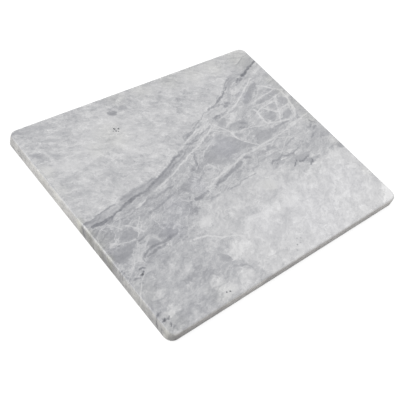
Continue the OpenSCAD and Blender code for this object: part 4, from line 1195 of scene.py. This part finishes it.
saw_marks = noise(turned(stone, BED, SAW_ANGLE, SAW_LENGTH), SAW_PITCH, 2.0, 0.7, 9.0)
saw_marks = maths(stone, "MULTIPLY", saw_marks, on_underside)
height = maths(stone, "MULTIPLY_ADD", saw_marks, SAW_STRENGTH, tooth)
surface(stone, colour, sheen, height, FACE_RELIEF, CALCITE_IOR)

slab = grind_slab(marble)
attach(slab, "root")
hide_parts("marble_slab")

# The four bumper feet.
# Moulded dark rubber buttons that hold the stone off the worktop and stop it sliding. The
# mould leaves the rubber slightly grained, and dust from the worktop dulls it in patches.

PLACES = ("front_left", "front_right", "rear_left", "rear_right")
DUST_PER_M, GRAIN_PER_M, DUST_LIMITS = 420.0, 2600.0, (0.48, 0.74)
CLEAN_DARK, DUSTY_DARK, CLEAN_DULL, DUSTY_DULL = 0.020, 0.052, 0.48, 0.76
RUBBER_BLUE, RUBBER_RELIEF, RUBBER_IOR = 1.05, (0.25, 0.05), 1.52


def grain(tree, scale, detail):
    spot = tree.nodes.new("ShaderNodeTexCoord").outputs["Object"]
    return add(tree, "ShaderNodeTexNoise", named={"Vector": spot, "Scale": scale, "Detail": detail})


def moulded_rubber():
    rubber, tree = new_material("moulded_rubber")
    dust = add(tree, "ShaderNodeMapRange", grain(tree, DUST_PER_M, 4.0), *DUST_LIMITS, 0.0, 1.0)
    dark = add(tree, "ShaderNodeMapRange", dust, 0.0, 1.0, CLEAN_DARK, DUSTY_DARK)
    colour = add(tree, "ShaderNodeCombineColor", dark, dark, maths(tree, "MULTIPLY", dark, RUBBER_BLUE))
    dull = add(tree, "ShaderNodeMapRange", dust, 0.0, 1.0, CLEAN_DULL, DUSTY_DULL)
    surface(tree, colour, dull, grain(tree, GRAIN_PER_M, 2.0), RUBBER_RELIEF, RUBBER_IOR)
    return rubber


rubber = moulded_rubber()
for place in PLACES:
    bpy.data.objects["foot_" + place].material_slots[0].material = rubber

# The four adhesive discs.
# Thin pale foam with glue on both faces, punched with each foot: it fills the roughness of
# the sawn underside. Its cells show as fine pores round the cut edge.

PORES_PER_M, PORE_LIMITS, FOAM_TONES = 3200.0, (0.1, 0.7), (0.58, 0.80)
FOAM_GREEN, FOAM_BLUE, FOAM_ROUGHNESS, FOAM_RELIEF = 0.99, 0.93, 0.86, (0.4, 0.08)


def cut_foam():
    foam, tree = new_material("foam_adhesive")
    spot = tree.nodes.new("ShaderNodeTexCoord").outputs["Object"]
    pores = add(tree, "ShaderNodeTexVoronoi", named={"Vector": spot, "Scale": PORES_PER_M})
    pale = add(tree, "ShaderNodeMapRange", pores, *PORE_LIMITS, *FOAM_TONES)
    green, blue = (maths(tree, "MULTIPLY", pale, share) for share in (FOAM_GREEN, FOAM_BLUE))
    colour = add(tree, "ShaderNodeCombineColor", pale, green, blue)
    surface(tree, colour, FOAM_ROUGHNESS, pores, FOAM_RELIEF)
    return foam


foam = cut_foam()
for place in PLACES:
    bpy.data.objects["adhesive_" + place].material_slots[0].material = foam
